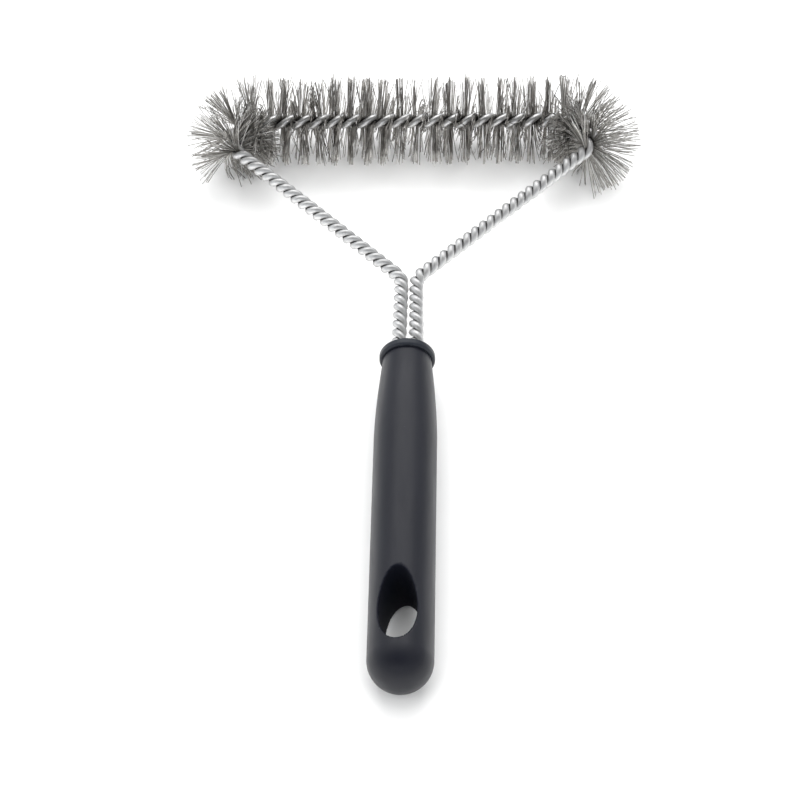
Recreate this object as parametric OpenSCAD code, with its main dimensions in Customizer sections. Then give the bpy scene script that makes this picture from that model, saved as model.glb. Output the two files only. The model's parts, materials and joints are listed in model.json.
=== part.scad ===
// Grill cleaning brush: a moulded handle, and a bent frame of two twisted core wires that grip rows of
// steel bristles along its cross bar. Millimetres. The brush rests on its bristles and on its round tail,
// +Y runs from the tail to the bristled bar, +Z is up, and the origin is under the middle of the brush.

/* [Handle] */
// Length from the round tail to the front of the collar
handle_len = 165; // [140:1:200]
// Diameter of the grip
grip_d = 26; // [25:0.5:30]
// Diameter of the handle just behind the collar
neck_d = 20.5; // [20.5:0.5:24]
// Length over which the grip narrows towards the collar
taper_len = 45; // [30:1:60]
// Diameter of the collar's flange
collar_d = 23.5; // [22:0.5:28]
// Thickness of the collar's flange
collar_thick = 3.5; // [2.5:0.5:5]
// Radius of the flange's rounded edges
collar_round = 1; // [0.5:0.1:1.2]
// Length of the plug behind the flange
plug_len = 24; // [15:1:35]
// Diameter of the hollow that takes the plug
hollow_d = 16.4; // [16:0.1:16.5]
// Depth of the hollow
hollow_depth = 60; // [55:1:75]

/* [Hanging hole] */
// Width of the hole
hole_w = 15; // [10:0.5:16]
// Length of the hole
hole_len = 33; // [24:1:38]
// Distance from the tail to the middle of the hole
hole_at = 31; // [28:0.5:36]
// How far the hole is wider towards the tail, as a fraction
hole_egg = 0.1; // [0:0.02:0.2]
// Roll of the hole about the axis of the handle, in degrees
hole_roll = 6; // [0:1:8]
// Lean of the hole's top towards the collar, in degrees
hole_pitch = 4.5; // [0:0.5:6]

/* [Wire frame] */
// Diameter of each of the two core wires
wire_d = 3.1; // [2.4:0.1:3.1]
// Length of the straight part of the bar
bar_len = 139; // [110:1:170]
// Distance from the tail to the axis of the bar
bar_at = 305; // [280:1:340]
// Bend radius of the two corners, at the middle of the rope
corner_r = 12; // [11:0.5:16]
// Angle between the bar and each arm, in degrees
arm_angle = 45.5; // [40:0.5:50]
// Bend radius where the arms turn into the legs
neck_r = 10; // [8:1:16]
// Distance between the middles of the two legs, just below that bend
neck_gap = 6.4; // [6.4:0.1:7]
// Angle at which each leg spreads on its way into the handle, in degrees
leg_splay = 0.8; // [0:0.1:0.8]
// Length of the legs inside the handle
leg_depth = 50; // [40:1:54]
// Length of half a turn of the wires where they are bare
bare_lay = 4.9; // [4.9:0.1:8]

/* [Bristles] */
// Number of tufts, one for each half turn of the wires along the bar and its corners
tuft_count = 26; // [20:2:26]
// Distance from the middle of the rope to the bristle tips
bristle_r = 20.5; // [16:0.5:24]
// Gap that the bristles hold open between the two core wires
bristle_gap = 0.4; // [0.4:0.05:0.6]
// Width of a layer of bristles across its tips
tip_thick = 1.2; // [0.8:0.1:2]

/* [Hidden] */
tuft_names = [for (i = [1 : tuft_count]) str("tuft_", i < 10 ? "0" : "", i)];
round_fn = 96;
plug_clear = 0.05;
socket_clear = 0.1;
bare_clear = 0.1;
over = 1;

// Stations along the handle, measured from the tail.
tail_r = grip_d / 2;
flange_at = handle_len - collar_thick;
taper_at = flange_at - taper_len;
leg_tip_at = handle_len - leg_depth;

// The line of the rope, from the middle of the bar outwards: bar, corner, arm, neck bend, leg.
// A heading is the angle of travel from +X.
arm_heading = arm_angle - 180;
leg_heading = leg_splay - 90;
corner_from = [bar_len / 2, bar_at];
corner_to = corner_from + bend_step(0, arm_heading, -corner_r);
neck_step = bend_step(arm_heading, leg_heading, neck_r);
arm_len = (corner_to.x + neck_step.x - neck_gap / 2) / cos(arm_angle);
neck_from = corner_to - arm_len * [cos(arm_angle), sin(arm_angle)];
neck_to = neck_from + neck_step;
leg_len = (neck_to.y - leg_tip_at) / cos(leg_splay);

// Rest position: the tail's dome and the bristles where the bar meets the arms both touch the ground.
rest_tilt = asin((bristle_r - tail_r) / (corner_to.y - tail_r));
back_y = -tail_r;
front_y = (bar_at - tail_r) * cos(rest_tilt) + bristle_r;
middle_y = (back_y + front_y) / 2;

// Distances along that line at which each stretch ends.
bar_end = bar_len / 2;
corner_end = bar_end + corner_r * radians(-arm_heading);
arm_end = corner_end + arm_len;
neck_end = arm_end + neck_r * radians(leg_heading - arm_heading);
leg_end = neck_end + leg_len;

// The twist: turns are counted in half turns from the middle of the bar.
tuft_lay = 2 * corner_end / tuft_count;
tufted_turns = tuft_count / 2;
bent_turn = floor(bar_end / tuft_lay);
last_turn = tufted_turns + (leg_end - corner_end) / bare_lay;
tufted_core_r = (wire_d + bristle_gap) / 2;
bare_core_r = (wire_d + bare_clear) / 2;
rope_r = bare_core_r + wire_d / 2;
blend_turns = 2;
wire_sides = 7;
wire_rings = ceil(2 * last_turn * 4);
tangent_step = 0.05;

// The layers of a tuft, and how close its inner bristles come to the centre of a corner.
tuft_layers = 8;
layer_lap = 0.04;
waist_len = 3.8;
waist_thick = 0.3;
corner_core = 1.5;

function radians(a) = a * PI / 180;
function degrees(a) = a * 180 / PI;
function unit(v) = v / norm(v);

// The step made by a bend from one heading to another; a right-hand bend has a negative radius.
function bend_step(h1, h2, r) = r * [sin(h2) - sin(h1), cos(h1) - cos(h2)];

// The place and heading at distance s from the middle of the bar, on the right half of the frame.
function half_spot(s) =
    s <= bar_end ? [s, bar_at, 0] :
    s <= corner_end ?
        let (h = -degrees((s - bar_end) / corner_r))
        [each corner_from + bend_step(0, h, -corner_r), h] :
    s <= arm_end ?
        [each corner_to + (s - corner_end) * [cos(arm_heading), sin(arm_heading)], arm_heading] :
    s <= neck_end ?
        let (h = arm_heading + degrees((s - arm_end) / neck_r))
        [each neck_from + bend_step(arm_heading, h, neck_r), h] :
    [each neck_to + (s - neck_end) * [cos(leg_heading), sin(leg_heading)], leg_heading];

// The same for the whole frame, whose left half has negative distances.
function spot(s) =
    let (p = half_spot(abs(s)))
    s < 0 ? [-p[0], p[1], -p[2]] : p;

// The distance along the frame after a number of half turns.
function along(turn) =
    abs(turn) <= tufted_turns ? turn * tuft_lay :
    sign(turn) * (corner_end + (abs(turn) - tufted_turns) * bare_lay);

// The direction across the rope at a spot, at an angle up from the left of the direction of travel.
function across(p, angle) = [-sin(p[2]) * cos(angle), cos(p[2]) * cos(angle), sin(angle)];

// The wires lie closer together where they are bare.
function core_r(turn) =
    let (bare = min(1, max(0, (abs(turn) - tufted_turns) / blend_turns)))
    tufted_core_r + bare * (bare_core_r - tufted_core_r);

function wire_middle(turn, start) =
    let (p = spot(along(turn)))
    [p[0], p[1], 0] + core_r(turn) * across(p, start - 180 * turn);

function wire_ring(turn, start) =
    let (
        middle = wire_middle(turn, start),
        ahead = unit(wire_middle(turn + tangent_step, start) - wire_middle(turn - tangent_step, start)),
        outward = across(spot(along(turn)), start - 180 * turn),
        side = unit(cross(ahead, outward)),
        lift = cross(side, ahead)
    )
    [for (k = [0 : wire_sides - 1])
        let (a = 360 * k / wire_sides)
        middle + wire_d / 2 * (cos(a) * lift + sin(a) * side)];

// How far bristles reach from the rope: on the inside of a corner they stop short of its centre.
function reach(turn, angle) =
    let (inward = -cos(angle), bent = abs(turn) > bent_turn)
    bent && inward > 0 ? min(bristle_r, (corner_r - corner_core) / inward) : bristle_r;

// Faces of a closed skin over a list of rings that all have the same number of points. Each face between two
// rings is cut along the diagonal that keeps a left-hand twist full.
function skin_faces(rings, sides) = [
    [for (k = [0 : sides - 1]) k],
    for (j = [0 : rings - 2], k = [0 : sides - 1])
        let (a = j * sides + k, b = j * sides + (k + 1) % sides)
        each [[a, a + sides, b + sides], [a, b + sides, b]],
    [for (k = [sides - 1 : -1 : 0]) (rings - 1) * sides + k]
];

module skin(rings) {
    polyhedron(points = [for (r = rings) each r], faces = skin_faces(len(rings), len(rings[0])));
}

// Sets a piece that is drawn along +Y from the tail, on the axis of the handle, into its rest position.
module at_rest() {
    translate([0, -middle_y, tail_r])
        rotate([rest_tilt, 0, 0])
            translate([0, -tail_r, 0])
                children();
}

// Turns a shape drawn up +Z so that it lies along the handle.
module along_handle() {
    rotate([-90, 0, 0])
        children();
}

// The outside of the handle in section: a round tail, a straight grip and a taper to the neck.
module handle_profile() {
    tail = [for (a = [-90 : 6 : 0]) [tail_r * cos(a), tail_r + tail_r * sin(a)]];
    taper = [for (t = [0 : 0.1 : 1])
        [neck_d / 2 + (grip_d - neck_d) / 2 * cos(90 * t), taper_at + taper_len * t]];
    polygon(concat(tail, taper, [[0, flange_at]]));
}

// The outline of the hanging hole: an oval that is fuller towards the tail.
module hole_outline() {
    polygon([for (a = [0 : 7.5 : 352.5])
        [hole_w / 2 * sin(a) * (1 - hole_egg * cos(a)), hole_len / 2 * cos(a)]]);
}

// The hole leans to the left and towards the collar at the top.
module hanging_hole() {
    rotate([0, -hole_roll, 0])
        translate([0, hole_at, 0])
            rotate([-hole_pitch, 0, 0])
                translate([0, 0, -grip_d])
                    linear_extrude(2 * grip_d)
                        hole_outline();
}

module handle_body() {
    color([0.2, 0.2, 0.22])
        at_rest()
            difference() {
                along_handle()
                    rotate_extrude($fn = round_fn)
                        handle_profile();
                translate([0, flange_at - hollow_depth, 0])
                    along_handle()
                        cylinder(h = hollow_depth + over, d = hollow_d, $fn = round_fn);
                hanging_hole();
            }
}

// The flange in section, with its rounded front and back edges, and the plug behind it.
module collar_profile() {
    rim = collar_d / 2 - collar_round;
    back = [for (a = [-90 : 15 : 0]) [rim + collar_round * cos(a), collar_round + collar_round * sin(a)]];
    front = [for (a = [0 : 15 : 90])
        [rim + collar_round * cos(a), collar_thick - collar_round + collar_round * sin(a)]];
    plug_r = hollow_d / 2 - plug_clear;
    plug = [[0, -plug_len], [plug_r, -plug_len], [plug_r, 0]];
    polygon(concat(plug, back, front, [[0, collar_thick]]));
}

// The hole in the collar that one leg passes through.
module leg_socket(side) {
    translate([side * neck_gap / 2, neck_to.y, 0])
        rotate([0, 0, side * leg_splay])
            rotate([90, 0, 0])
                cylinder(h = leg_len, r = rope_r + socket_clear, $fn = round_fn);
}

module front_collar() {
    color([0.17, 0.18, 0.2])
        at_rest()
            difference() {
                translate([0, flange_at, 0])
                    along_handle()
                        rotate_extrude($fn = round_fn)
                            collar_profile();
                leg_socket(1);
                leg_socket(-1);
            }
}

module core_wire(start) {
    color([0.75, 0.75, 0.75])
        at_rest()
            skin([for (j = [0 : wire_rings]) wire_ring(last_turn * (2 * j / wire_rings - 1), start)]);
}

module core_wire_a() {
    core_wire(0);
}

module core_wire_b() {
    core_wire(180);
}

// One layer of bristles: a flat bow tie across the rope, thin between the wires and thicker at the tips.
module bristle_layer(turn) {
    p = spot(along(turn));
    angle = 90 - 180 * turn;
    far = reach(turn, angle);
    near = reach(turn, angle + 180);
    tip = tip_thick / 2;
    waist = waist_thick / 2;
    translate([p[0], p[1], 0])
        rotate([0, 0, p[2]])
            rotate([90, 0, 90])
                rotate([0, 0, angle])
                    linear_extrude(tuft_lay / tuft_layers + layer_lap, center = true)
                        polygon([
                            [-near, -tip], [-waist_len, -waist], [waist_len, -waist], [far, -tip],
                            [far, tip], [waist_len, waist], [-waist_len, waist], [-near, tip]
                        ]);
}

// Tuft number i, counted from the left end of the bristles: layers that turn with the wires.
module tuft(i) {
    first = i - 1 - tufted_turns;
    color([0.45, 0.44, 0.43])
        at_rest()
            union() {
                for (j = [0.5 : tuft_layers])
                    bristle_layer(first + j / tuft_layers);
            }
}

handle_body();
front_collar();
core_wire_a();
core_wire_b();
for (i = [1 : tuft_count])
    tuft(i);
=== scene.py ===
"""Grill cleaning brush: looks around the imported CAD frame.

Lengths are in metres. The brush's own line is worked out in the plane of its wire frame: u to the
right, v from the round tail to the bar, w up out of that plane. rest_matrix() sets it down at rest.
"""

import json
import math

import bpy
import numpy as np
from mathutils import Matrix, Vector


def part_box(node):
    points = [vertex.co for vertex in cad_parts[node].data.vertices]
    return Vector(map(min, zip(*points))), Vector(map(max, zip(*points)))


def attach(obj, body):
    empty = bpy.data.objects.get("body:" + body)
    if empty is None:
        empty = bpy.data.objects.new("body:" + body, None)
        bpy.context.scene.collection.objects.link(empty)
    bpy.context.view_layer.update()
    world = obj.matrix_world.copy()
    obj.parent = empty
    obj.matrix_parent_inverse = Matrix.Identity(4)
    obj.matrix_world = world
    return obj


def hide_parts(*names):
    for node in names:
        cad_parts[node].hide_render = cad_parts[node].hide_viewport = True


MM = 0.001
SEED = 41

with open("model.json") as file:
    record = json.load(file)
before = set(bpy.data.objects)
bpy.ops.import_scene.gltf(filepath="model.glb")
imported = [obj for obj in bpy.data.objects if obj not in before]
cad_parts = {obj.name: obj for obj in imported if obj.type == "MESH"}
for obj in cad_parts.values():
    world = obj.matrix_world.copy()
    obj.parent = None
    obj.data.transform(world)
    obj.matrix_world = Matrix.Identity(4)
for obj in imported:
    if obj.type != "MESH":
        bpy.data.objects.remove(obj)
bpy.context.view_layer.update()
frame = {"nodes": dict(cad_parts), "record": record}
MOUNTS = {m["name"]: m for m in frame["record"]["mounts"]}

# ---------------------------------------------------------------- sizes read from the frame

GRIP = MOUNTS["grip"]
TAIL_R = GRIP["dims"]["r_mm"] * MM
BACKWARD = Vector(GRIP["axis"])
AXIS = -BACKWARD


def on_axis_at_y(y):
    """The point on the handle's axis with that y in the row frame."""
    p = Vector(GRIP["pos_m"])
    return p + AXIS * ((y - p.y) / AXIS.y)


TAIL_CENTRE = on_axis_at_y(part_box("handle_body")[0][1] + TAIL_R)


def along_axis(point):
    """Distance of a point from the tail's tip, along the handle's axis."""
    return (Vector(point) - TAIL_CENTRE).dot(AXIS) + TAIL_R


TUFTS = sorted(name for name in frame["nodes"] if name.startswith("tuft_"))
BAR_BOX = [Vector(c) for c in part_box(TUFTS[len(TUFTS) // 2])]
BAR_AT = along_axis((BAR_BOX[0] + BAR_BOX[1]) / 2)
BRISTLE_R = (BAR_BOX[1].y - BAR_BOX[0].y) / 2
COLLAR_BOX = [Vector(c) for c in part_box("front_collar")]
COLLAR_R = (COLLAR_BOX[1].x - COLLAR_BOX[0].x) / 2
COLLAR_MID_Z = (COLLAR_BOX[0].z + COLLAR_BOX[1].z) / 2
HANDLE_LEN = along_axis((0, COLLAR_BOX[1].y - COLLAR_R * -BACKWARD.z, COLLAR_MID_Z))
HOLE_AT = along_axis(MOUNTS["hang_hole"]["pos_m"])

# ---------------------------------------------------------------- sizes shared with the CAD model

COLLAR_THICK = 3.5 * MM
COLLAR_ROUND = 1.0 * MM
PLUG_LEN = 24 * MM
HOLLOW_R = 8.2 * MM
HOLLOW_DEPTH = 60 * MM
NECK_R = 10.25 * MM
TAPER_LEN = 45 * MM
HOLE_W = 15 * MM
HOLE_LEN = 33 * MM
HOLE_EGG = 0.1
HOLE_ROLL = math.radians(6)
HOLE_PITCH = math.radians(4.5)

WIRE_R = 1.55 * MM
TUFTED_CORE_R = 1.75 * MM
BARE_CORE_R = 1.6 * MM
BLEND_TURNS = 2
CORNER_R = 12 * MM
BEND_R = 10 * MM
NECK_GAP = 6.4 * MM
ARM_ANGLE = math.radians(45.5)
LEG_SPLAY = math.radians(0.8)
LEG_DEPTH = 50 * MM
BARE_LAY = 4.9 * MM
BAR_END = 69.5 * MM

ARM_HEADING = ARM_ANGLE - math.pi
LEG_HEADING = LEG_SPLAY - math.pi / 2
FLANGE_AT = HANDLE_LEN - COLLAR_THICK


def rest_matrix():
    """From the brush's own u, v, w to the row frame."""
    right = Vector((1, 0, 0))
    up = right.cross(AXIS)
    m = Matrix((right, AXIS, up)).transposed().to_4x4()
    m.translation = TAIL_CENTRE - AXIS * TAIL_R
    return m


REST = np.array(rest_matrix())


def at_rest(points):
    """Points given as u, v, w, set down in the row frame."""
    return points @ REST[:3, :3].T + REST[:3, 3]


# ---------------------------------------------------------------- the line of the twisted wires


def bend_step(h1, h2, r):
    """The step made by a bend from one heading to another; a right-hand bend has a negative radius."""
    return np.stack([r * (np.sin(h2) - np.sin(h1)), r * (np.cos(h1) - np.cos(h2))], axis=-1)


CORNER_FROM = np.array([BAR_END, BAR_AT])
CORNER_TO = CORNER_FROM + bend_step(0.0, ARM_HEADING, -CORNER_R)
NECK_STEP = bend_step(ARM_HEADING, LEG_HEADING, BEND_R)
ARM_LEN = (CORNER_TO[0] + NECK_STEP[0] - NECK_GAP / 2) / math.cos(ARM_ANGLE)
NECK_FROM = CORNER_TO - ARM_LEN * np.array([math.cos(ARM_ANGLE), math.sin(ARM_ANGLE)])
NECK_TO = NECK_FROM + NECK_STEP
LEG_LEN = (NECK_TO[1] - (HANDLE_LEN - LEG_DEPTH)) / math.cos(LEG_SPLAY)
CORNER_END = BAR_END + CORNER_R * -ARM_HEADING
ARM_END = CORNER_END + ARM_LEN
NECK_END = ARM_END + BEND_R * (LEG_HEADING - ARM_HEADING)
LEG_END = NECK_END + LEG_LEN

TUFT_LAY = 2 * CORNER_END / len(TUFTS)
TUFTED_TURNS = len(TUFTS) / 2
LAST_TURN = TUFTED_TURNS + (LEG_END - CORNER_END) / BARE_LAY


def spot(s):
    """Places (u, v) and headings at signed distances s from the middle of the bar."""
    d = np.abs(s)
    corner_h = -(d - BAR_END) / CORNER_R
    neck_h = ARM_HEADING + (d - ARM_END) / BEND_R
    arm_dir = np.array([math.cos(ARM_HEADING), math.sin(ARM_HEADING)])
    leg_dir = np.array([math.cos(LEG_HEADING), math.sin(LEG_HEADING)])
    places = [
        np.stack([d, np.full_like(d, BAR_AT)], axis=-1),
        CORNER_FROM + bend_step(0.0, corner_h, -CORNER_R),
        CORNER_TO + (d - CORNER_END)[..., None] * arm_dir,
        NECK_FROM + bend_step(ARM_HEADING, neck_h, BEND_R),
        NECK_TO + (d - NECK_END)[..., None] * leg_dir,
    ]
    headings = [
        np.zeros_like(d),
        corner_h,
        np.full_like(d, ARM_HEADING),
        neck_h,
        np.full_like(d, LEG_HEADING),
    ]
    ends = [d <= BAR_END, d <= CORNER_END, d <= ARM_END, d <= NECK_END, d > NECK_END]
    place = np.select([e[..., None] for e in ends], places)
    heading = np.select(ends, headings)
    side = np.where(s < 0, -1.0, 1.0)
    place = place * np.stack([side, np.ones_like(side)], axis=-1)
    return place, heading * side


def along(turn):
    """Distance along the frame after a number of half turns from the middle of the bar."""
    t = np.abs(turn)
    bare = np.maximum(t - TUFTED_TURNS, 0)
    return np.sign(turn) * (np.minimum(t, TUFTED_TURNS) * TUFT_LAY + bare * BARE_LAY)


def across(heading, angle):
    """Unit direction across the rope, at an angle up from the left of the direction of travel."""
    level = np.cos(angle)
    return np.stack([-np.sin(heading) * level, np.cos(heading) * level, np.sin(angle)], axis=-1)


def ahead(heading):
    return np.stack([np.cos(heading), np.sin(heading), np.zeros_like(heading)], axis=-1)


def in_plane(place):
    return np.concatenate([place, np.zeros(place.shape[:-1] + (1,))], axis=-1)


def core_r(turn):
    bare = np.clip((np.abs(turn) - TUFTED_TURNS) / BLEND_TURNS, 0, 1)
    return TUFTED_CORE_R + bare * (BARE_CORE_R - TUFTED_CORE_R)


def wire_middle(turn, start):
    place, heading = spot(along(turn))
    return in_plane(place) + core_r(turn)[..., None] * across(heading, start - math.pi * turn)


# ---------------------------------------------------------------- mesh helpers


def unit(v):
    return v / np.linalg.norm(v, axis=-1, keepdims=True)


def new_piece(name, verts, faces, material, body="root"):
    """A smooth mesh piece in the row frame that rides on a body and takes its finish from a slot."""
    mesh = bpy.data.meshes.new(name)
    mesh.from_pydata(verts.tolist(), [], faces)
    mesh.validate()
    mesh.shade_smooth()
    mesh.materials.append(material)
    piece = bpy.data.objects.new(name, mesh)
    bpy.context.scene.collection.objects.link(piece)
    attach(piece, body)
    return piece


def point_values(piece, name, values):
    """A number at each vertex, which a material can read."""
    layer = piece.data.attributes.new(name, "FLOAT", "POINT")
    layer.data.foreach_set("value", np.asarray(values, dtype=np.float32))


def tube_faces(count, rings, sides):
    """Faces of a number of closed tubes, each with so many rings of so many points."""
    faces = []
    for i in range(count):
        base = i * rings * sides
        faces.append(list(range(base + sides - 1, base - 1, -1)))
        for j in range(rings - 1):
            for k in range(sides):
                a = base + j * sides + k
                b = base + j * sides + (k + 1) % sides
                faces.append([a, b, b + sides, a + sides])
        last = base + (rings - 1) * sides
        faces.append(list(range(last, last + sides)))
    return faces


# ---------------------------------------------------------------- materials


def node_material(name):
    mat = bpy.data.materials.new(name)
    mat.use_nodes = True
    tree = mat.node_tree
    shader = tree.nodes["Principled BSDF"]
    return mat, tree, shader


def add(tree, kind, **sockets):
    """A node with its inputs set by name; an input may be a value or another node's socket."""
    node = tree.nodes.new(kind)
    for key, value in sockets.items():
        key = key.replace("_", " ")
        if isinstance(value, bpy.types.NodeSocket):
            tree.links.new(value, node.inputs[key])
        else:
            node.inputs[key].default_value = value
    return node


def noise(tree, vector, scale, detail=3.0, rough=0.5):
    node = add(tree, "ShaderNodeTexNoise", Vector=vector, Scale=scale, Detail=detail, Roughness=rough)
    return node.outputs["Fac"]


def ramp(tree, fac, stops):
    """A colour ramp; stops are (position, grey or colour)."""
    node = tree.nodes.new("ShaderNodeValToRGB")
    tree.links.new(fac, node.inputs["Fac"])
    while len(node.color_ramp.elements) < len(stops):
        node.color_ramp.elements.new(0.5)
    for element, (place, colour) in zip(node.color_ramp.elements, stops):
        element.position = place
        element.color = (*colour, 1) if isinstance(colour, tuple) else (colour, colour, colour, 1)
    return node.outputs["Color"]


def stretched(tree, scale):
    """Object coordinates scaled by a different amount along each axis."""
    coords = tree.nodes.new("ShaderNodeTexCoord").outputs["Object"]
    mapping = add(tree, "ShaderNodeMapping", Vector=coords)
    mapping.inputs["Scale"].default_value = scale
    return mapping.outputs["Vector"]


def vertex_number(tree, name):
    """A number that point_values() left at the vertices."""
    node = tree.nodes.new("ShaderNodeAttribute")
    node.attribute_name = name
    return node.outputs["Fac"]


def mix(tree, fac, a, b, blend="MIX"):
    node = tree.nodes.new("ShaderNodeMix")
    node.data_type = "RGBA"
    node.blend_type = blend
    for key, value in (("Factor", fac), ("A", a), ("B", b)):
        socket = next(s for s in node.inputs if s.name == key and (s.type == "RGBA" or key == "Factor"))
        if isinstance(value, bpy.types.NodeSocket):
            tree.links.new(value, socket)
        else:
            socket.default_value = value
    return next(s for s in node.outputs if s.type == "RGBA")


def bump(tree, height, strength, distance, normal=None):
    node = add(tree, "ShaderNodeBump", Height=height, Strength=strength, Distance=distance)
    if normal is not None:
        tree.links.new(normal, node.inputs["Normal"])
    return node.outputs["Normal"]


HANDLE_TONES = (0.0055, 0.0062, 0.0105), (0.0095, 0.0102, 0.0155)
COLLAR_TONES = (0.012, 0.0145, 0.02), (0.017, 0.02, 0.027)
# Painted shade: the near-black colour given to the wall of the hanging hole.
HOLE_PAINTED_SHADE = (0.002, 0.003, 0.008, 1)
HOLE_ROUGHNESS = (0.85, 0.85, 0.85, 1)


def moulded_plastic(name, dark, light):
    """Satin moulded plastic: a fine grain over slow shifts of tone and gloss, with painted shade darkening it
    in the hole, where it is also dull.
    """
    mat, tree, shader = node_material(name)
    even = stretched(tree, (1, 1, 1))
    drawn = stretched(tree, (1, 0.15, 1))
    cloudy = noise(tree, drawn, 120, 5, 0.6)
    inner = vertex_number(tree, "inner")
    tone = ramp(tree, cloudy, [(0.3, dark), (0.7, light)])
    # Painted shade darkens the colour towards the wall of the hole.
    tree.links.new(mix(tree, inner, tone, HOLE_PAINTED_SHADE), shader.inputs["Base Color"])
    gloss = ramp(tree, noise(tree, drawn, 300, 5), [(0.3, 0.36), (0.7, 0.46)])
    tree.links.new(mix(tree, inner, gloss, HOLE_ROUGHNESS), shader.inputs["Roughness"])
    shader.inputs["IOR"].default_value = 1.41
    normal = bump(tree, noise(tree, even, 70, 2), 0.2, 0.0003)
    normal = bump(tree, noise(tree, even, 2600, 2, 0.6), 0.3, 0.00004, normal)
    tree.links.new(normal, shader.inputs["Normal"])
    return mat


def drawn_wire(name):
    """Galvanised drawn wire: painted shade darkens the grooves between the wires, and the wire is polished by
    use where it holds the bristles.
    """
    mat, tree, shader = node_material(name)
    uv = tree.nodes.new("ShaderNodeUVMap").outputs["UV"]
    streak = add(tree, "ShaderNodeMapping", Vector=uv)
    streak.inputs["Scale"].default_value = (26, 260, 1)
    streaks = noise(tree, streak.outputs["Vector"], 1, 4)
    even = stretched(tree, (1, 1, 1))
    patches = noise(tree, even, 420, 3)
    bright = ramp(tree, streaks, [(0.3, (0.64, 0.64, 0.636)), (0.7, (0.8, 0.8, 0.794))])
    spangles = ramp(tree, patches, [(0.35, (0.54, 0.54, 0.54)), (0.65, (0.88, 0.88, 0.87))])
    spangled = mix(tree, 0.35, bright, spangles)
    # Painted shade: the base colour darkens on each wire's inner side, in the groove where the two wires
    # meet.
    groove_painted_shade = ramp(tree, vertex_number(tree, "outer"), [(0.25, 0.22), (0.6, 1.0)])
    tree.links.new(mix(tree, 1.0, spangled, groove_painted_shade, "MULTIPLY"), shader.inputs["Base Color"])
    shader.inputs["Metallic"].default_value = 0.88
    shader.inputs["Specular Tint"].default_value = (0.05, 0.05, 0.055, 1)
    dull = ramp(tree, streaks, [(0.25, 0.52), (0.75, 0.42)])
    polished = ramp(tree, streaks, [(0.25, 0.34), (0.75, 0.26)])
    tree.links.new(mix(tree, vertex_number(tree, "worn"), dull, polished), shader.inputs["Roughness"])
    normal = bump(tree, streaks, 0.2, 0.00004)
    normal = bump(tree, patches, 0.15, 0.00006, normal)
    tree.links.new(normal, shader.inputs["Normal"])
    return mat


def bristle_steel(name):
    """Fine drawn wire: each bristle has its own tone, from dark to bright, under small stains."""
    mat, tree, shader = node_material(name)
    tone = ramp(tree, vertex_number(tree, "strand"), [
        (0.0, (0.27, 0.255, 0.235)),
        (0.55, (0.475, 0.456, 0.428)),
        (0.85, (0.71, 0.69, 0.66)),
        (1.0, (0.97, 0.96, 0.93)),
    ])
    even = stretched(tree, (1, 1, 1))
    stains = ramp(tree, noise(tree, even, 700, 3), [(0.3, 0.7), (0.7, 1.0)])
    tree.links.new(mix(tree, 1.0, tone, stains, "MULTIPLY"), shader.inputs["Base Color"])
    shader.inputs["Metallic"].default_value = 1.0
    shader.inputs["Specular Tint"].default_value = (0.4, 0.4, 0.4, 1)
    gloss = ramp(tree, noise(tree, even, 1500, 2), [(0.3, 0.3), (0.7, 0.42)])
    tree.links.new(gloss, shader.inputs["Roughness"])
    tree.links.new(bump(tree, noise(tree, even, 6000, 2), 0.2, 0.00002), shader.inputs["Normal"])
    return mat


# ---------------------------------------------------------------- camera, floor and light

CAMERA_ELEVATION = math.radians(49.4)
CAMERA_YAW = math.radians(-3.12)
CAMERA_ROLL = math.radians(-2.57)
CAMERA_DISTANCE = 0.995
CAMERA_TARGET = Vector((-0.0027, -0.0207, 0.015))
CAMERA_LENS_MM = 107.8
SENSOR_MM = 36
FLOOR_HALF = 2.0


def make_camera():
    forward = Vector((
        math.sin(CAMERA_YAW) * math.cos(CAMERA_ELEVATION),
        math.cos(CAMERA_YAW) * math.cos(CAMERA_ELEVATION),
        -math.sin(CAMERA_ELEVATION),
    ))
    right = Vector((math.cos(CAMERA_YAW), -math.sin(CAMERA_YAW), 0))
    up = right.cross(forward)
    c, s = math.cos(CAMERA_ROLL), math.sin(CAMERA_ROLL)
    right, up = right * c + up * s, up * c - right * s
    data = bpy.data.cameras.new("camera")
    data.lens = CAMERA_LENS_MM
    data.sensor_width = SENSOR_MM
    data.clip_start = 0.01
    camera = bpy.data.objects.new("camera", data)
    m = Matrix((right, up, -forward)).transposed().to_4x4()
    m.translation = CAMERA_TARGET - forward * CAMERA_DISTANCE
    camera.matrix_world = m
    bpy.context.scene.collection.objects.link(camera)
    bpy.context.scene.camera = camera


def make_floor():
    mesh = bpy.data.meshes.new("floor")
    h = FLOOR_HALF
    mesh.from_pydata([(-h, -h, 0), (h, -h, 0), (h, h, 0), (-h, h, 0)], [], [(0, 1, 2, 3)])
    floor = bpy.data.objects.new("floor", mesh)
    bpy.context.scene.collection.objects.link(floor)
    mat, tree, shader = node_material("floor_paper")
    speckle = noise(tree, stretched(tree, (1, 1, 1)), 60, 2)
    tone = ramp(tree, speckle, [(0.3, (0.885, 0.885, 0.878)), (0.7, (0.9, 0.9, 0.893))])
    tree.links.new(tone, shader.inputs["Base Color"])
    shader.inputs["Roughness"].default_value = 0.9
    shader.inputs["Specular IOR Level"].default_value = 0.1
    mesh.materials.append(mat)


def area_light(name, place, target, size, power, mirrored):
    """A softbox; one that isn't mirrored lights things without showing as a reflection."""
    data = bpy.data.lights.new(name, "AREA")
    data.shape = "RECTANGLE"
    data.size, data.size_y = size
    data.energy = power
    light = bpy.data.objects.new(name, data)
    light.location = place
    light.rotation_euler = (Vector(target) - Vector(place)).to_track_quat("-Z", "Y").to_euler()
    light.visible_glossy = mirrored
    bpy.context.scene.collection.objects.link(light)


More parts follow.
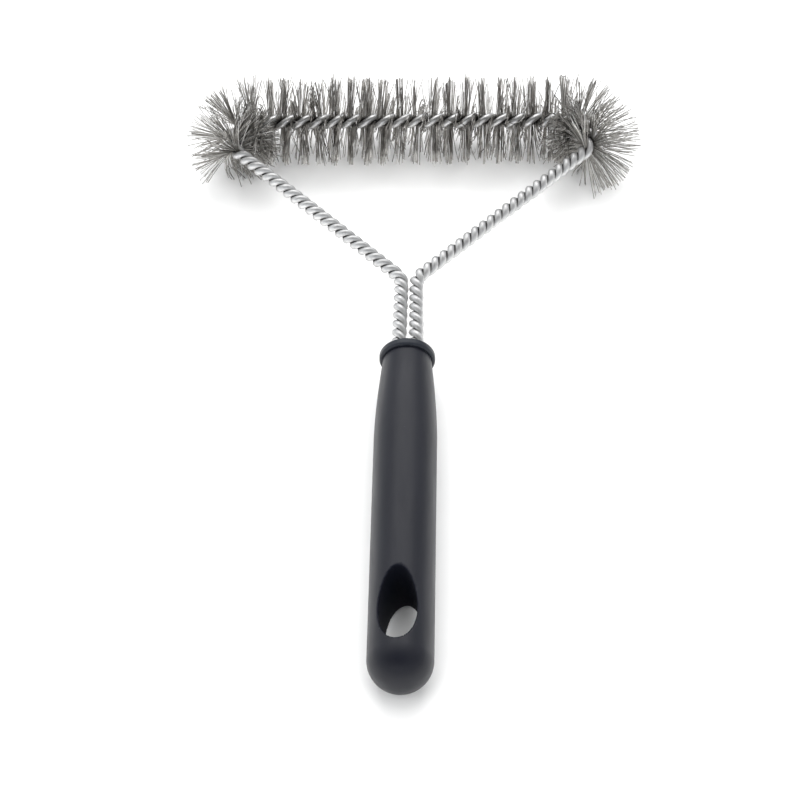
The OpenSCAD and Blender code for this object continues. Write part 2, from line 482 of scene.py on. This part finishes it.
# Each light has a name, a place, a target, its two sizes, its power in watts, and whether it is mirrored.
LIGHTS = [
    ("back_softbox", (0.0, 1.0, 1.15), (0, 0.05, 0), (1.5, 0.8), 5.4, True),
    ("back_key", (0.0, 0.55, 0.62), (0, 0.12, 0), (0.8, 0.4), 2.8, False),
    ("top_key", (0.0, 0.1, 1.5), (0, 0.0, 0), (1.2, 1.0), 7.5, False),
    ("left_fill", (-0.8, -0.75, 1.1), (0, 0.05, 0.02), (0.9, 0.9), 8.5, False),
    ("right_fill", (0.8, -0.75, 1.1), (0, 0.05, 0.02), (0.9, 0.9), 8.5, False),
]
ROOM_STRENGTH = 1.05
WALLS_BY_HEIGHT = [
    (0.0, (0.9, 0.915, 0.94)),
    (0.25, (0.74, 0.765, 0.81)),
    (0.45, (0.8, 0.825, 0.87)),
    (0.65, (1.0, 1.0, 1.0)),
    (1.0, (0.85, 0.85, 0.85)),
]
DIMMER_TO_THE_RIGHT = [(0.0, 1.0), (0.5, 0.85), (1.0, 0.6)]
GOBO_TILT = math.radians(25)
GOBO_STRETCH = (2.0, 1, 1000)
GOBO_FADE = [(0.0, 0.02), (0.32, 0.04), (0.55, 1.0)]


def make_light():
    """A pale room with softboxes, and a dark patch overhead that the top of the handle mirrors."""
    world = bpy.data.worlds.new("studio")
    world.use_nodes = True
    bpy.context.scene.world = world
    tree = world.node_tree
    coords = tree.nodes.new("ShaderNodeTexCoord").outputs["Generated"]
    split = add(tree, "ShaderNodeSeparateXYZ", Vector=coords)
    walls = ramp(tree, split.outputs["Z"], WALLS_BY_HEIGHT)
    walls = mix(tree, 1.0, walls, ramp(tree, split.outputs["X"], DIMMER_TO_THE_RIGHT), "MULTIPLY")
    gobo = add(tree, "ShaderNodeMapping", Vector=coords)
    gobo.vector_type = "TEXTURE"
    gobo.inputs["Rotation"].default_value = (GOBO_TILT, 0, 0)
    gobo.inputs["Scale"].default_value = GOBO_STRETCH
    length = add(tree, "ShaderNodeVectorMath", Vector=gobo.outputs["Vector"])
    length.operation = "LENGTH"
    dark = ramp(tree, length.outputs["Value"], GOBO_FADE)
    back = tree.nodes["Background"]
    tree.links.new(mix(tree, 1.0, walls, dark, "MULTIPLY"), back.inputs["Color"])
    back.inputs["Strength"].default_value = ROOM_STRENGTH
    for light in LIGHTS:
        area_light(*light)


# ---------------------------------------------------------------- surfaces from distance fields


SLIDES = 6
LONGEST_SLIDE = 0.5
NUDGE = 0.01
FLATTEST_SLOPE = 1e-4


def slid_onto(field, points, step):
    """Points moved along the slope of a field, by part of a grid step at a time, onto its zero level."""
    nudge = step * NUDGE
    for _ in range(SLIDES):
        value = field(points)
        slope = np.stack([
            (field(points + nudge * e) - field(points - nudge * e)) / (2 * nudge) for e in np.eye(3)
        ], axis=-1)
        size = np.maximum((slope ** 2).sum(axis=-1), FLATTEST_SLOPE)
        move = value[:, None] * slope / size[:, None]
        length = np.linalg.norm(move, axis=1, keepdims=True)
        points = points - move * np.minimum(1, LONGEST_SLIDE * step / np.maximum(length, 1e-9))
    return points


def quads_across(inside, index, axis):
    """A quad for each grid edge along one axis that the surface crosses, between the four cells round it."""
    a, b = [x for x in range(3) if x != axis]
    first = [slice(1, n - 1) for n in inside.shape]
    first[axis] = slice(0, inside.shape[axis] - 1)
    second = list(first)
    second[axis] = slice(1, inside.shape[axis])
    here, there = inside[tuple(first)], inside[tuple(second)]
    cells = np.argwhere(here != there)
    flips = here[here != there]
    offset = np.array([1, 1, 1])
    offset[axis] = 0
    cells = cells + offset
    step_a, step_b = np.eye(3, dtype=int)[a], np.eye(3, dtype=int)[b]
    ring = [cells - step_a - step_b, cells - step_b, cells, cells - step_a]
    quads = np.stack([index[tuple(c.T)] for c in ring], axis=-1)
    outward = flips if axis != 1 else ~flips
    quads[~outward] = quads[~outward][:, ::-1]
    return quads


def net_surface(field, low, high, step):
    """A quad mesh over the zero level of a distance field, in the brush's own u, v, w.

    One vertex is put in each grid cell that the surface crosses, and slid onto the surface."""
    axes = [np.arange(a - 2 * step, b + 3 * step, step) for a, b in zip(low, high)]
    grid = np.stack(np.meshgrid(*axes, indexing="ij"), axis=-1)
    inside = field(grid) < 0
    corners = [inside[i:inside.shape[0] - 1 + i, j:inside.shape[1] - 1 + j, k:inside.shape[2] - 1 + k]
               for i in (0, 1) for j in (0, 1) for k in (0, 1)]
    total = sum(c.astype(np.int8) for c in corners)
    crossed = (total > 0) & (total < len(corners))
    index = np.full(crossed.shape, -1)
    index[crossed] = np.arange(crossed.sum())
    points = slid_onto(field, grid[:-1, :-1, :-1][crossed] + step / 2, step)
    faces = [quads_across(inside, index, axis) for axis in range(3)]
    return points, np.concatenate(faces).tolist()


# Lips are the radii of rounded edges, and steps are the sizes of the grids for net_surface().
HOLE_LIP = 0.5 * MM
HANDLE_STEP = 0.65 * MM
COLLAR_STEP = 0.4 * MM
SOCKET_LIP = 0.3 * MM
LEG_CLEARANCE = 0.1 * MM
PLUG_CLEARANCE = 0.05 * MM
SOCKET_R = BARE_CORE_R + WIRE_R + LEG_CLEARANCE


def rounded_both(a, b, r):
    """The field of what is inside both fields, with the edge between them rounded to radius r."""
    return np.minimum(-r, np.maximum(a, b)) + np.hypot(np.maximum(r + a, 0), np.maximum(r + b, 0))


def handle_radius(v):
    t = np.clip((v - (FLANGE_AT - TAPER_LEN)) / TAPER_LEN, 0, 1)
    return NECK_R + (TAIL_R - NECK_R) * np.cos(t * math.pi / 2)


def handle_outside(p):
    """Distance from the handle's outer skin: a round tail, a straight grip and a taper."""
    ring = np.hypot(p[..., 0], p[..., 2])
    body = ring - handle_radius(p[..., 1])
    tail = np.hypot(ring, p[..., 1] - TAIL_R) - TAIL_R
    skin = np.where(p[..., 1] < TAIL_R, tail, body)
    return np.maximum(skin, p[..., 1] - FLANGE_AT)


def hanging_hole(p):
    """Distance from the wall of the hole, negative inside it."""
    c, s = math.cos(HOLE_ROLL), math.sin(HOLE_ROLL)
    x = p[..., 0] * c + p[..., 2] * s
    z = p[..., 2] * c - p[..., 0] * s
    y = ((p[..., 1] - HOLE_AT) * math.cos(HOLE_PITCH) - z * math.sin(HOLE_PITCH)) / (HOLE_LEN / 2)
    width = HOLE_W / 2 * (1 - HOLE_EGG * np.clip(y, -1.2, 1.2))
    q = np.hypot(x / width, y)
    slope = np.hypot(x / width ** 2, y / (HOLE_LEN / 2)) / np.maximum(q, 1e-6)
    return (q - 1) / np.maximum(slope, 1 / (HOLE_LEN / 2))


def handle_field(p):
    """Distance from the handle: its skin, less the hanging hole and the bore at its front."""
    hollow = np.maximum(np.hypot(p[..., 0], p[..., 2]) - HOLLOW_R, FLANGE_AT - HOLLOW_DEPTH - p[..., 1])
    solid = rounded_both(handle_outside(p), -hanging_hole(p), HOLE_LIP)
    return np.maximum(solid, -hollow)


def leg_distance(p):
    """Distance from the middle of the nearer leg."""
    u = np.abs(p[..., 0]) - (NECK_GAP / 2 + (NECK_TO[1] - p[..., 1]) * math.tan(LEG_SPLAY))
    return np.hypot(u, p[..., 2])


def collar_field(p):
    """Distance from the collar: a rounded flange and its plug, less the two sockets for the legs."""
    ring = np.hypot(p[..., 0], p[..., 2])
    back, front = FLANGE_AT - p[..., 1], p[..., 1] - HANDLE_LEN
    flange = rounded_both(ring - COLLAR_R, np.maximum(back, front), COLLAR_ROUND)
    shank = ring - (HOLLOW_R - PLUG_CLEARANCE)
    plug = np.maximum(shank, np.maximum(FLANGE_AT - PLUG_LEN - p[..., 1], front))
    return rounded_both(np.minimum(flange, plug), SOCKET_R - leg_distance(p), SOCKET_LIP)


# ---------------------------------------------------------------- pieces


# How far the painted shade and duller gloss of the hole reach from its wall, in radii of the hole's lip.
HOLE_FADE = 1.5


def make_handle(material):
    low = (-TAIL_R, 0, -TAIL_R)
    points, faces = net_surface(handle_field, low, (TAIL_R, FLANGE_AT, TAIL_R), HANDLE_STEP)
    piece = new_piece("handle_shell", at_rest(points), faces, material)
    # The hole's mask, where the plastic takes painted shade and a duller gloss.
    point_values(piece, "inner", np.clip(HOLE_FADE - np.abs(hanging_hole(points)) / HOLE_LIP, 0, 1))
    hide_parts("handle_body")


def make_collar(material):
    low = (-COLLAR_R, FLANGE_AT - PLUG_LEN, -COLLAR_R)
    points, faces = net_surface(collar_field, low, (COLLAR_R, HANDLE_LEN, COLLAR_R), COLLAR_STEP)
    piece = new_piece("collar_shell", at_rest(points), faces, material)
    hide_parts("front_collar")


WIRE_SIDES = 18
WIRE_RINGS_PER_TURN = 18
DULL_END_TURNS = 2


def make_wire(name, start, node, material):
    """One core wire: a smooth tube that winds left-handed round the line of the frame."""
    count = int(LAST_TURN * WIRE_RINGS_PER_TURN) + 1
    turn = np.linspace(-LAST_TURN, LAST_TURN, count)
    middle = wire_middle(turn, start)
    travel = unit(wire_middle(turn + 0.01, start) - wire_middle(turn - 0.01, start))
    _, heading = spot(along(turn))
    outward = across(heading, start - math.pi * turn)
    side = unit(np.cross(travel, outward))
    lift = np.cross(side, travel)
    angle = np.arange(WIRE_SIDES) * 2 * math.pi / WIRE_SIDES
    spokes = np.cos(angle)[None, :, None] * lift[:, None] + np.sin(angle)[None, :, None] * side[:, None]
    rings = middle[:, None] + WIRE_R * spokes
    faces = tube_faces(1, count, WIRE_SIDES)
    piece = new_piece(name, at_rest(rings.reshape(-1, 3)), faces, material)
    # How far each point faces out from the groove between the wires; the wire's material paints shade where
    # this is low.
    outer = (1 + np.cos(angle)) / 2
    point_values(piece, "outer", np.tile(outer, count))
    worn = np.clip(TUFTED_TURNS - DULL_END_TURNS - np.abs(turn), 0, 1)
    point_values(piece, "worn", np.repeat(worn, WIRE_SIDES))
    length = np.concatenate([[0], np.cumsum(np.linalg.norm(np.diff(middle, axis=0), axis=1))])
    lay_uv(piece, WIRE_SIDES, length, 2 * math.pi * WIRE_R)
    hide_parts(node)


def lay_uv(piece, sides, length, girth):
    """UVs in metres: along the tube and round it."""
    layer = piece.data.uv_layers.new(name="UVMap")
    loops = np.zeros(len(piece.data.loops), dtype=int)
    piece.data.loops.foreach_get("vertex_index", loops)
    ring, side = loops // sides, loops % sides
    uv = np.stack([length[ring], side / sides * girth], axis=-1)
    layer.data.foreach_set("uv", uv.ravel().astype(np.float32))


BRISTLE_WIRE_R = 0.18 * MM
BRISTLE_SIDES = 5
STATIONS = np.array([-1.0, -0.72, -0.42, -0.16, 0.0, 0.16, 0.42, 0.72, 1.0])

# Bristles in a tuft. Past ENDS_FROM_TURN half turns from the middle of the bar, a tuft has more.
FEWEST_IN_TUFT = 40
MOST_IN_TUFT = 66
MORE_AT_ENDS = 30
ENDS_FROM_TURN = 9
PLACE_IN_STEP = (0.1, 0.9)

# How far the bristles reach. STRAYS is a share of them, and the last three multiply a reach.
WEAR = 1.0 * MM
STRAYS = 0.05
SHORTEST_STRAY = 0.8
LONGEST = 1.12
CORNER_REACH = 1.07

# How widely the bristles lean, in degrees: along the bar, then round it.
UPPER_SPREAD = 1.9
LOWER_SPREAD = 2.6
CORNER_SPREAD = 8
LOOSE_LEAN = 9
LOOSE_CURL = 7
ROUND_SPREAD = 3.0
ROUND_CURL = 2.5
LOOSE_ROUND = 7

# The curl as a part of the lean, how much one tuft's spread differs from the next, how far bristles
# turn out of line with the twist, and how much of the gap between the wires they lie across.
CURL_SHARE = 0.6
TUFT_SPREAD = (0.6, 1.4)
TWIST_SCATTER = math.radians(3)
GAP_USE = 0.5

# How bunched() gathers bristles: its bunches, their width, and the shares that stand outside them.
BUNCHES = 4
BUNCH_WIDTH = 0.35
FREE = 0.3
WILD = 0.08

# How pulled() gathers tips: edges between clumps, how hard a clump pulls, and how far it wanders itself.
CLUMP_EDGES = (2, 5)
CLUMP_GRIP = (0.35, 0.9)
CLUMP_WANDER = 0.13
LONERS = 0.25
LONER_GRIP = 0.1
CORNER_PULL = 0.45
LOWER_PULL = 0.4

# The lower bristles splay along the bar, where they press on the floor.
FLARE = (0.2, 0.9)
FLARE_SHIFT = 0.23
FLOOR_CLEARANCE = 1.2 * BRISTLE_WIRE_R

# Powers of a bristle's random tone. A smaller power gives more bright bristles.
# A smaller power gives more bright bristles; the corners' smaller power is painted light that offsets the
# shade in their crowded fans.
CORNER_TONE_POWER_WITH_PAINTED_LIGHT = 0.5
BAR_TONE_POWER = 0.9


def bunched(rng, count, spread, loose):
    """Angles for both ends of each bristle: most follow one of a few bunches, and the rest stand freely."""
    both = (2, count)
    bunches = rng.normal(0, 1, (2, BUNCHES))
    picks = rng.integers(0, BUNCHES, both)
    angle = np.take_along_axis(bunches, picks, axis=1) + rng.normal(0, BUNCH_WIDTH, both)
    free = rng.uniform(size=both) < FREE
    angle = np.where(free, rng.normal(0, 1, both), angle) * spread
    wild = rng.uniform(size=both) < WILD
    return np.radians(np.where(wild, rng.normal(0, loose, both), angle))


def pulled(rng, share):
    """How far along the tuft each bristle's tip is drawn towards the clump that it stands in."""
    shifts = []
    for _ in range(2):
        edges = np.sort(rng.uniform(0, 1, rng.integers(*CLUMP_EDGES)))
        edges = np.concatenate([[0], edges, [1]])
        clump = np.clip(np.searchsorted(edges, share) - 1, 0, len(edges) - 2)
        middle = (edges[clump] + edges[clump + 1]) / 2
        grip = rng.uniform(*CLUMP_GRIP, len(edges))[clump]
        grip = grip * np.where(rng.uniform(size=len(share)) < LONERS, LONER_GRIP, 1)
        shifts.append((middle - share) * grip + rng.normal(0, CLUMP_WANDER, len(edges))[clump])
    return np.stack(shifts)


def bristle_reach(rng, bent):
    """How far both ends of each bristle reach: a little worn, with a few strays that stand out."""
    both = (2, len(bent))
    reach = BRISTLE_R - np.abs(rng.normal(0, WEAR, both))
    stray = rng.uniform(size=both) < STRAYS
    reach = np.where(stray, BRISTLE_R * rng.uniform(SHORTEST_STRAY, LONGEST, both), reach)
    return reach * np.where(bent, CORNER_REACH, 1)


def bristle_stance(rng, share, bent, downward):
    """How both ends of each bristle stand: angles along and round the bar, and shifts of the tips."""
    n = len(share)
    calm = np.where(downward, LOWER_SPREAD, UPPER_SPREAD) * rng.uniform(*TUFT_SPREAD)
    spread = np.where(bent, CORNER_SPREAD, calm)
    lean = bunched(rng, n, spread, LOOSE_LEAN)
    curl = bunched(rng, n, spread * CURL_SHARE, LOOSE_CURL)
    roll = bunched(rng, n, ROUND_SPREAD, LOOSE_ROUND)
    curl_round = bunched(rng, n, ROUND_CURL, LOOSE_ROUND)
    pull = pulled(rng, share) * np.where(bent, CORNER_PULL, np.where(downward, LOWER_PULL, 1))
    flare = np.where(downward & ~bent, rng.uniform(*FLARE, (2, n)), 0)
    flare = flare * ((share + FLARE_SHIFT) % 1 - 0.5)
    return lean, curl, roll, curl_round, pull, flare


def bristle_lines(middle, out, round_dir, forth, reach, stance, layer):
    """Points along each bristle, from one tip through the gap between the wires to the other tip."""
    lean, curl, roll, curl_round, pull, flare = stance
    lines = []
    for t in STATIONS:
        half = 0 if t < 0 else 1
        free = abs(t)
        far = reach[half] * t
        tilt = np.tan(lean[half]) + np.tan(curl[half]) * free
        sway = tilt * abs(far) + (pull + flare)[half] * TUFT_LAY * free
        twist = np.tan(roll[half]) + np.tan(curl_round[half]) * free
        turned = -math.pi * pull[half] * free + twist * np.sign(t)
        spoke = out * np.cos(turned)[:, None] + round_dir * np.sin(turned)[:, None]
        offset = spoke * far[:, None] + forth * sway[:, None] + round_dir * layer[:, None]
        excess = np.maximum(1, np.linalg.norm(offset, axis=1) / (BRISTLE_R * LONGEST))
        lines.append(middle + offset / excess[:, None])
    lines = at_rest(np.stack(lines, axis=1))
    lines[..., 2] = np.maximum(lines[..., 2], FLOOR_CLEARANCE)
    return lines


def bristle_tubes(lines, forth):
    """The corners of a thin tube round each bristle's line."""
    travel = unit(np.gradient(lines, axis=1))
    side = unit(np.cross(travel, (forth @ REST[:3, :3].T)[:, None]))
    lift = np.cross(side, travel)
    a = np.arange(BRISTLE_SIDES) * 2 * math.pi / BRISTLE_SIDES
    spokes = np.cos(a)[:, None] * lift[:, :, None] + np.sin(a)[:, None] * side[:, :, None]
    rings = lines[:, :, None] + BRISTLE_WIRE_R * spokes
    return rings.reshape(-1, 3)


def make_tuft(index, node, material, rng):
    """The bristles of one half turn: each runs through the gap between the wires and out both sides."""
    at_end = abs(index - TUFTED_TURNS + 0.5) > ENDS_FROM_TURN
    n = int(rng.uniform(FEWEST_IN_TUFT, MOST_IN_TUFT)) + MORE_AT_ENDS * at_end
    share = (np.arange(n) + rng.uniform(*PLACE_IN_STEP, n)) / n
    turn = index - TUFTED_TURNS + share
    place, heading = spot(along(turn))
    bent = np.abs(along(turn)) > BAR_END
    angle = math.pi / 2 - math.pi * turn + rng.normal(0, TWIST_SCATTER, n)
    out = across(heading, angle)
    round_dir = across(heading, angle + math.pi / 2)
    forth = ahead(heading)
    reach = bristle_reach(rng, bent)
    downward = np.stack([out[:, 2], -out[:, 2]]) > 0
    stance = bristle_stance(rng, share, bent, downward)
    layer = rng.uniform(-1, 1, n) * (TUFTED_CORE_R - WIRE_R) * GAP_USE
    lines = bristle_lines(in_plane(place), out, round_dir, forth, reach, stance, layer)
    tubes = bristle_tubes(lines, forth)
    faces = tube_faces(n, len(STATIONS), BRISTLE_SIDES)
    piece = new_piece(f"bristles_{index + 1:02d}", tubes, faces, material)
    # Corner bristles take a smaller power, so more of them are bright: painted light that offsets the shade
    # among their crowded bristles.
    strand = rng.uniform(0, 1, n) ** np.where(bent, CORNER_TONE_POWER_WITH_PAINTED_LIGHT, BAR_TONE_POWER)
    point_values(piece, "strand", np.repeat(strand, len(STATIONS) * BRISTLE_SIDES))
    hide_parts(node)


# ---------------------------------------------------------------- the scene

make_camera()
make_floor()
make_light()
bpy.context.scene.view_settings.view_transform = "Standard"

make_handle(moulded_plastic("handle_plastic", *HANDLE_TONES))
make_collar(moulded_plastic("collar_plastic", *COLLAR_TONES))
WIRE_STEEL = drawn_wire("core_wire_steel")
make_wire("wire_a", 0.0, "core_wire_a", WIRE_STEEL)
make_wire("wire_b", math.pi, "core_wire_b", WIRE_STEEL)
BRISTLE_STEEL = bristle_steel("bristle_steel")
for i, tuft_name in enumerate(TUFTS):
    make_tuft(i, tuft_name, BRISTLE_STEEL, np.random.default_rng(SEED + i))
